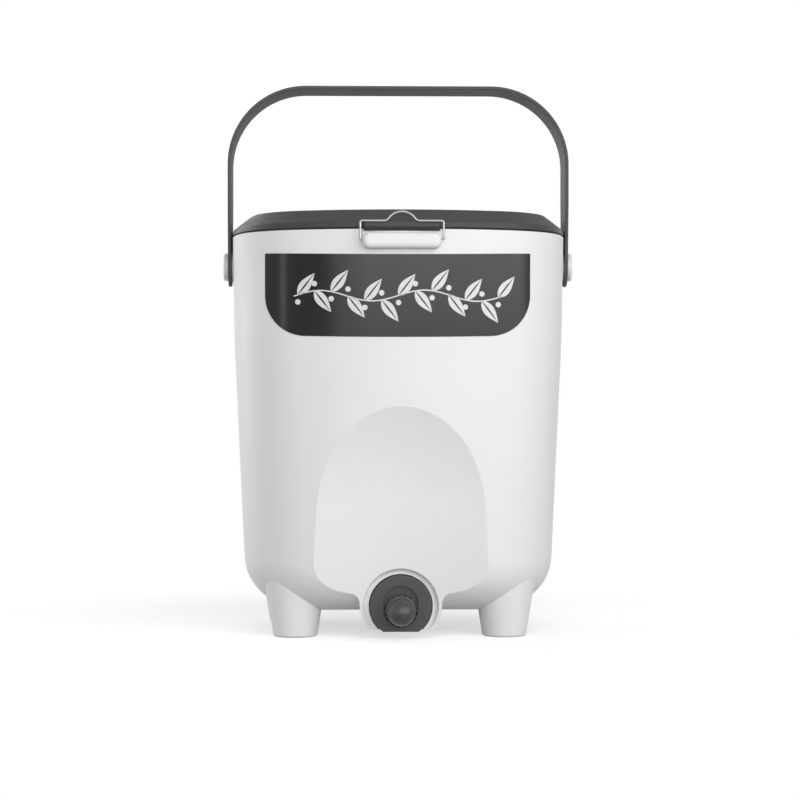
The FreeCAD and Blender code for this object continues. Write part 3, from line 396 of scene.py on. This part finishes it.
@dataclass
class PrintedPanel:
    """Dark film on the front wall with a printed leaf sprig."""

    ink_thickness: float = 0.06
    motif_x: float = -2.8
    motif_z: float = 291.2
    sprig_length: float = 176.0
    wave_height: float = 4.5
    wave_count: float = 2.0
    leaf_count: int = 13
    leaf_length: float = 23.0
    leaf_width: float = 9.5
    leaf_lean: float = 52.0
    leaf_taper: float = 0.75
    leaf_points: int = 19
    leaf_rows: int = 8
    leaf_row_end: float = 0.48
    vein_half_width: float = 0.05
    stem_width: float = 1.1
    stem_points: int = 121
    berry_radius: float = 2.3
    berry_drop: float = 2.6
    berry_points: int = 20

    def wave(self, tree: Tree, given: Sockets, x: Socket) -> Socket:
        """Offset that bends a straight row into the stem's wave.

        Args:
            tree: Tree of the sprig.
            given: Named inputs of the tree.
            x: Place along the stem.

        Returns:
            Socket of the offset.
        """
        along_links = {0: x, 1: given["Sprig Length"]}
        along = add_node(tree, "ShaderNodeMath", {"operation": "DIVIDE"}, along_links)
        turn_settings = {"operation": "MULTIPLY", 1: 2 * math.pi * self.wave_count}
        turn = add_node(tree, "ShaderNodeMath", turn_settings, {0: along.outputs[0]})
        sway = add_node(tree, "ShaderNodeMath", {"operation": "SINE"}, {0: turn.outputs[0]})
        lift_links = {0: sway.outputs[0], 1: given["Wave Height"]}
        lift = add_node(tree, "ShaderNodeMath", {"operation": "MULTIPLY"}, lift_links)
        return add_node(tree, "ShaderNodeCombineXYZ", {}, {1: lift.outputs[0]}).outputs[0]

    def stem(self, tree: Tree, given: Sockets, offset: Socket) -> Node:
        """Narrow strip that follows the wave.

        Args:
            tree: Tree of the sprig.
            given: Named inputs of the tree.
            offset: Offset of the wave.

        Returns:
            Node that gives the stem.
        """
        strip_settings = {"Vertices X": self.stem_points, "Vertices Y": 2}
        strip_links = {"Size X": given["Sprig Length"], "Size Y": given["Stem Width"]}
        strip = add_node(tree, "GeometryNodeMeshGrid", strip_settings, strip_links)
        stem_links = {"Geometry": strip.outputs["Mesh"], "Offset": offset}
        return add_node(tree, "GeometryNodeSetPosition", {}, stem_links)

    def buds(self, tree: Tree, given: Sockets, offset: Socket) -> Node:
        """Evenly spaced points on the stem, one for each leaf.

        Args:
            tree: Tree of the sprig.
            given: Named inputs of the tree.
            offset: Offset of the wave.

        Returns:
            Node that gives the points.
        """
        ends = []
        for share in (-self.leaf_row_end, self.leaf_row_end):
            end_settings = {"operation": "MULTIPLY", 1: share}
            end_x = add_node(tree, "ShaderNodeMath", end_settings, {0: given["Sprig Length"]})
            ends.append(add_node(tree, "ShaderNodeCombineXYZ", {}, {0: end_x.outputs[0]}).outputs[0])
        row_links = {"Count": given["Leaf Count"], "Start Location": ends[0], "Offset": ends[1]}
        row = add_node(tree, "GeometryNodeMeshLine", {"mode": "END_POINTS"}, row_links)
        buds_links = {"Geometry": row.outputs["Mesh"], "Offset": offset}
        return add_node(tree, "GeometryNodeSetPosition", {}, buds_links)

    def leaf(self, tree: Tree, given: Sockets, place: Sockets) -> Node:
        """One pointed leaf along +X, open along its middle vein.

        Args:
            tree: Tree of the sprig.
            given: Named inputs of the tree.
            place: X, Y and Z of each point.

        Returns:
            Node that gives the leaf.
        """
        blade_settings = {
            "Size X": 1.0,
            "Size Y": 1.0,
            "Vertices X": self.leaf_points,
            "Vertices Y": self.leaf_rows,
        }
        blade = add_node(tree, "GeometryNodeMeshGrid", blade_settings)
        reach = add_node(tree, "ShaderNodeMath", {"operation": "ADD", 1: 0.5}, {0: place[0]})
        swell_settings = {"operation": "POWER", 1: self.leaf_taper}
        swell = add_node(tree, "ShaderNodeMath", swell_settings, {0: reach.outputs[0]})
        arc = add_node(tree, "ShaderNodeMath", {"operation": "MULTIPLY", 1: math.pi}, {0: swell.outputs[0]})
        bulge = add_node(tree, "ShaderNodeMath", {"operation": "SINE"}, {0: arc.outputs[0]})
        span_links = {0: bulge.outputs[0], 1: given["Leaf Width"]}
        span = add_node(tree, "ShaderNodeMath", {"operation": "MULTIPLY"}, span_links)
        across_links = {0: span.outputs[0], 1: place[1]}
        across = add_node(tree, "ShaderNodeMath", {"operation": "MULTIPLY"}, across_links)
        ahead_links = {0: reach.outputs[0], 1: given["Leaf Length"]}
        ahead = add_node(tree, "ShaderNodeMath", {"operation": "MULTIPLY"}, ahead_links)
        outline = add_node(tree, "ShaderNodeCombineXYZ", {}, {0: ahead.outputs[0], 1: across.outputs[0]})
        side = add_node(tree, "ShaderNodeMath", {"operation": "ABSOLUTE"}, {0: place[1]})
        vein_settings = {"operation": "LESS_THAN", 1: self.vein_half_width}
        vein = add_node(tree, "FunctionNodeCompare", vein_settings, {0: side.outputs[0]})
        halves_links = {"Geometry": blade.outputs["Mesh"], "Selection": vein.outputs[0]}
        halves = add_node(tree, "GeometryNodeDeleteGeometry", {"domain": "FACE"}, halves_links)
        leaf_links = {"Geometry": halves.outputs[0], "Position": outline.outputs[0]}
        return add_node(tree, "GeometryNodeSetPosition", {}, leaf_links)

    def leaves(self, tree: Tree, buds: Node, leaf: Node, other_side: Socket) -> Node:
        """A leaf on every bud, leaning to either side in turn.

        Args:
            tree: Tree of the sprig.
            buds: Node that gives the points.
            leaf: Node that gives the leaf.
            other_side: One for every second bud, else nought.

        Returns:
            Node that gives the leaves.
        """
        lean_settings = {"To Min": math.radians(self.leaf_lean), "To Max": math.radians(-self.leaf_lean)}
        lean = add_node(tree, "ShaderNodeMapRange", lean_settings, {"Value": other_side})
        euler = add_node(tree, "ShaderNodeCombineXYZ", {}, {2: lean.outputs["Result"]})
        rotation = add_node(tree, "FunctionNodeEulerToRotation", {}, {0: euler.outputs[0]})
        leaves_links = {
            "Points": buds.outputs[0],
            "Instance": leaf.outputs[0],
            "Rotation": rotation.outputs[0],
        }
        return add_node(tree, "GeometryNodeInstanceOnPoints", {}, leaves_links)

    def berries(self, tree: Tree, given: Sockets, buds: Node, other_side: Socket) -> Node:
        """A round berry beside every bud, across the stem from its leaf.

        Args:
            tree: Tree of the sprig.
            given: Named inputs of the tree.
            buds: Node that gives the points.
            other_side: One for every second bud, else nought.

        Returns:
            Node that gives the berries.
        """
        disc_settings = {"fill_type": "TRIANGLE_FAN", "Vertices": self.berry_points}
        disc = add_node(tree, "GeometryNodeMeshCircle", disc_settings, {"Radius": given["Berry Radius"]})
        drop_settings = {"To Min": -self.berry_drop, "To Max": self.berry_drop}
        drop = add_node(tree, "ShaderNodeMapRange", drop_settings, {"Value": other_side})
        away_links = {0: drop.outputs["Result"], 1: given["Berry Radius"]}
        away = add_node(tree, "ShaderNodeMath", {"operation": "MULTIPLY"}, away_links)
        shift = add_node(tree, "ShaderNodeCombineXYZ", {}, {1: away.outputs[0]})
        seats_links = {"Geometry": buds.outputs[0], "Offset": shift.outputs[0]}
        seats = add_node(tree, "GeometryNodeSetPosition", {}, seats_links)
        berries_links = {"Points": seats.outputs[0], "Instance": disc.outputs["Mesh"]}
        return add_node(tree, "GeometryNodeInstanceOnPoints", {}, berries_links)

    def sprig_tree(self) -> Tree:
        """Node tree that lays a waving stem with leaves and berries flat in XY.

        Returns:
            The geometry node tree.
        """
        tree = bpy.data.node_groups.new("leaf_sprig", "GeometryNodeTree")
        face = tree.interface
        for name, kind in (
            ("Sprig Length", "NodeSocketFloat"),
            ("Wave Height", "NodeSocketFloat"),
            ("Leaf Count", "NodeSocketInt"),
            ("Leaf Length", "NodeSocketFloat"),
            ("Leaf Width", "NodeSocketFloat"),
            ("Stem Width", "NodeSocketFloat"),
            ("Berry Radius", "NodeSocketFloat"),
            ("Ink", "NodeSocketMaterial"),
        ):
            face.new_socket(name, in_out="INPUT", socket_type=kind)
        face.new_socket("Geometry", in_out="OUTPUT", socket_type="NodeSocketGeometry")
        given = add_node(tree, "NodeGroupInput").outputs
        spot = add_node(tree, "GeometryNodeInputPosition").outputs[0]
        place = add_node(tree, "ShaderNodeSeparateXYZ", {}, {0: spot}).outputs
        index = add_node(tree, "GeometryNodeInputIndex").outputs[0]
        other_side = add_node(tree, "ShaderNodeMath", {"operation": "MODULO", 1: 2.0}, {0: index}).outputs[0]

        offset = self.wave(tree, given, place[0])
        stem = self.stem(tree, given, offset)
        buds = self.buds(tree, given, offset)
        leaves = self.leaves(tree, buds, self.leaf(tree, given, place), other_side)
        berries = self.berries(tree, given, buds, other_side)

        joined = add_node(tree, "GeometryNodeJoinGeometry")
        for part in (stem, leaves, berries):
            tree.links.new(part.outputs[0], joined.inputs[0])
        real = add_node(tree, "GeometryNodeRealizeInstances", {}, {0: joined.outputs[0]})
        inked_links = {"Geometry": real.outputs[0], "Material": given["Ink"]}
        inked = add_node(tree, "GeometryNodeSetMaterial", {}, inked_links)
        add_node(tree, "NodeGroupOutput", {}, {0: inked.outputs[0]})
        return tree

    def sprig_mesh(self, ink: Material) -> Mesh:
        """Evaluate the sprig and wrap it onto the film.

        Args:
            ink: Finish of the print.

        Returns:
            Mesh of the print, in metres, in place.
        """
        tree = self.sprig_tree()
        sizes = {
            "Sprig Length": self.sprig_length,
            "Wave Height": self.wave_height,
            "Leaf Count": self.leaf_count,
            "Leaf Length": self.leaf_length,
            "Leaf Width": self.leaf_width,
            "Stem Width": self.stem_width,
            "Berry Radius": self.berry_radius,
            "Ink": ink,
        }
        mesh = evaluate_tree(tree, sizes)
        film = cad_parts["front_label"]
        corners = [film.matrix_world @ vertex.co for vertex in film.data.vertices]
        skin = BVHTree.FromPolygons(corners, [face.vertices[:] for face in film.data.polygons])
        for vertex in mesh.vertices:
            x, rise, _ = vertex.co
            start = Vector((self.motif_x + x, -1 / MM, self.motif_z + rise)) * MM
            spot = skin.ray_cast(start, Vector((0, 1, 0)))[0]
            vertex.co = spot - Vector((0, self.ink_thickness * MM, 0))
        return mesh

    def build(self) -> None:
        """Dress the film and lay the print on it."""
        dress("front_label", Slot.FILM)
        ink = SCREEN_INK.make()
        place_mesh("label_print", self.sprig_mesh(ink), "bin", ink)


def evaluate_tree(tree: Tree, sizes: dict[str, Any]) -> Mesh:
    """Run a geometry node tree on an empty mesh and keep the result as a plain mesh.

    Args:
        tree: Geometry node tree with named inputs.
        sizes: Values by input name.

    Returns:
        The evaluated mesh.
    """
    carrier = bpy.data.objects.new(tree.name, bpy.data.meshes.new(tree.name))
    bpy.context.scene.collection.objects.link(carrier)
    modifier = carrier.modifiers.new(tree.name, "NODES")
    modifier.node_group = tree
    for item in tree.interface.items_tree:
        if item.item_type == "SOCKET" and item.in_out == "INPUT" and item.name in sizes:
            modifier[item.identifier] = sizes[item.name]
    shown = carrier.evaluated_get(bpy.context.evaluated_depsgraph_get())
    mesh = bpy.data.meshes.new_from_object(shown)
    carrier.modifiers.remove(modifier)
    bpy.data.objects.remove(carrier)
    mesh.name = tree.name
    return mesh


@dataclass
class BinShell:
    """White moulded bin with its printed panel and the pivots of the handle."""

    panel: PrintedPanel = field(default_factory=PrintedPanel)

    def build(self) -> None:
        """Dress the shell, the panel and the pivot pieces."""
        dress("bin_body", Slot.WHITE)
        self.panel.build()
        for side in ("left", "right"):
            for piece in ("rivet", "washer", "clip"):
                dress(f"{side}_pivot_{piece}", Slot.GREY)


@dataclass
class Lid:
    """Charcoal lid with its rubber seal."""

    def build(self) -> None:
        """Dress the lid and its seal."""
        dress("lid", Slot.CHARCOAL)
        dress("lid_seal", Slot.RUBBER)


@dataclass
class CarryHandle:
    """Charcoal strap handle."""

    def build(self) -> None:
        """Dress the strap."""
        dress("handle", Slot.CHARCOAL, STRAP_POLYPROPYLENE.make())


@dataclass
class Latches:
    """Wire bails at the front and the rear."""

    def build(self) -> None:
        """Dress both bails."""
        dress("front_latch_wire", Slot.WIRE)
        dress("rear_latch_wire", Slot.WIRE)


@dataclass
class StrainerPlate:
    """Perforated plate on legs inside the bin."""

    def build(self) -> None:
        """Dress the plate."""
        dress("strainer", Slot.STRAINER)


@dataclass
class DrainTap:
    """Quarter-turn tap with its face, knob, plug, nut and seals."""

    def build(self) -> None:
        """Dress the tap's pieces."""
        for node in ("tap_housing", "tap_knob", "tap_plug", "tap_retainer", "tap_lock_nut"):
            dress(node, Slot.TAP)
        for node in ("tap_gasket", "tap_washer", "tap_o_rings"):
            dress(node, Slot.RUBBER)


@dataclass(frozen=True)
class Softbox:
    """One square-edged lamp that faces the bin.

    Azimuth runs from the front towards the right, and elevation from the floor upwards, in degrees.
    """

    name: str
    azimuth: float
    elevation: float
    distance: float
    width: float
    height: float
    watts: float

    def build(self, aim: Vector) -> None:
        """Hang the lamp and turn it towards a point.

        Args:
            aim: Point that it faces, in metres.
        """
        lamp = bpy.data.lights.new(self.name, "AREA")
        lamp.shape = "RECTANGLE"
        lamp.size = self.width * MM
        lamp.size_y = self.height * MM
        lamp.energy = self.watts
        holder = bpy.data.objects.new(self.name, lamp)
        bpy.context.scene.collection.objects.link(holder)
        turn = math.radians(self.azimuth)
        rise = math.radians(self.elevation)
        way = Vector((math.cos(rise) * math.sin(turn), -math.cos(rise) * math.cos(turn), math.sin(rise)))
        holder.location = aim + way * self.distance * MM
        holder.rotation_euler = (-way).to_track_quat("-Z", "Y").to_euler()


@dataclass
class Studio:
    """Paper floor, softboxes, white surround and a level camera at the bin's own height."""

    aim_z: float = 210.0
    ambient: float = 0.21
    floor_reach: float = 6000.0
    floor_segments: int = 96
    camera_turn: float = -1.5
    camera_distance: float = 2000.0
    camera_z: float = 203.7
    focal_px: float = 2235.0
    picture_px: float = 800.0
    axis_px: float = 397.8
    sensor: float = 36.0
    # Each lamp: azimuth, elevation, distance, width, height and watts.
    lamps: tuple[Softbox, ...] = (
        Softbox("key_softbox", 24.0, 25.0, 1900.0, 3200.0, 1400.0, 30.0),
        Softbox("rim_softbox", -119.0, 12.0, 1600.0, 1200.0, 1600.0, 13.0),
        Softbox("strip_softbox", -57.0, 6.0, 1700.0, 150.0, 1200.0, 1.9),
        Softbox("front_softbox", 22.6, 4.0, 2600.0, 5900.0, 380.0, 25.6),
        Softbox("rear_softbox", -166.0, 32.0, 2200.0, 1800.0, 1200.0, 14.0),
    )

    def build_floor(self) -> None:
        """Lay a round sheet of paper under the bin."""
        mesh = bpy.data.meshes.new("paper_floor")
        sheet = bmesh.new()
        reach = self.floor_reach * MM
        bmesh.ops.create_circle(sheet, cap_ends=True, segments=self.floor_segments, radius=reach)
        sheet.to_mesh(mesh)
        sheet.free()
        mesh.materials.append(StudioPaper().make())
        floor = bpy.data.objects.new("paper_floor", mesh)
        bpy.context.scene.collection.objects.link(floor)

    def build_surround(self) -> None:
        """White surround for the camera and for reflections, and a low even light."""
        world = bpy.data.worlds.new("white_surround")
        bpy.context.scene.world = world
        world.use_nodes = True
        tree = world.node_tree
        even = tree.nodes["Background"]
        even.inputs["Color"].default_value = linear("#FFFFFF")
        even.inputs["Strength"].default_value = self.ambient
        white = add_node(tree, "ShaderNodeBackground", {"Color": linear("#FFFFFF"), "Strength": 1.0})
        path = add_node(tree, "ShaderNodeLightPath").outputs
        shown_links = {0: path["Is Camera Ray"], 1: path["Is Glossy Ray"]}
        shown = add_node(tree, "ShaderNodeMath", {"operation": "MAXIMUM"}, shown_links)
        shown_links = {0: shown.outputs[0], 1: path["Is Transmission Ray"]}
        shown = add_node(tree, "ShaderNodeMath", {"operation": "MAXIMUM"}, shown_links)
        both_links = {0: shown.outputs[0], 1: even.outputs[0], 2: white.outputs[0]}
        both = add_node(tree, "ShaderNodeMixShader", {}, both_links)
        tree.links.new(both.outputs[0], tree.nodes["World Output"].inputs["Surface"])

    def build_camera(self) -> None:
        """Set up the level camera."""
        lens = bpy.data.cameras.new("camera")
        lens.sensor_width = self.sensor
        lens.lens = self.focal_px / self.picture_px * self.sensor
        lens.shift_x = (self.picture_px / 2 - self.axis_px) / self.picture_px
        camera = bpy.data.objects.new("camera", lens)
        bpy.context.scene.collection.objects.link(camera)
        turn = math.radians(self.camera_turn)
        back = Vector((math.sin(turn), -math.cos(turn), 0)) * self.camera_distance
        camera.location = (back + Vector((0, 0, self.camera_z))) * MM
        camera.rotation_euler = (math.pi / 2, 0, turn)
        bpy.context.scene.camera = camera

    def build(self) -> None:
        """Set up the whole studio."""
        bpy.context.scene.view_settings.view_transform = "Standard"
        self.build_floor()
        self.build_surround()
        self.build_camera()
        for lamp in self.lamps:
            lamp.build(Vector((0, 0, self.aim_z * MM)))


def main() -> None:
    """Build every sub-assembly and the studio."""
    logging.basicConfig(level=logging.INFO, format="%(name)s: %(message)s")
    for assembly in (BinShell(), Lid(), CarryHandle(), Latches(), StrainerPlate(), DrainTap(), Studio()):
        assembly.build()
        LOG.info("finished %s", type(assembly).__name__)


if __name__ == "__main__":
    main()
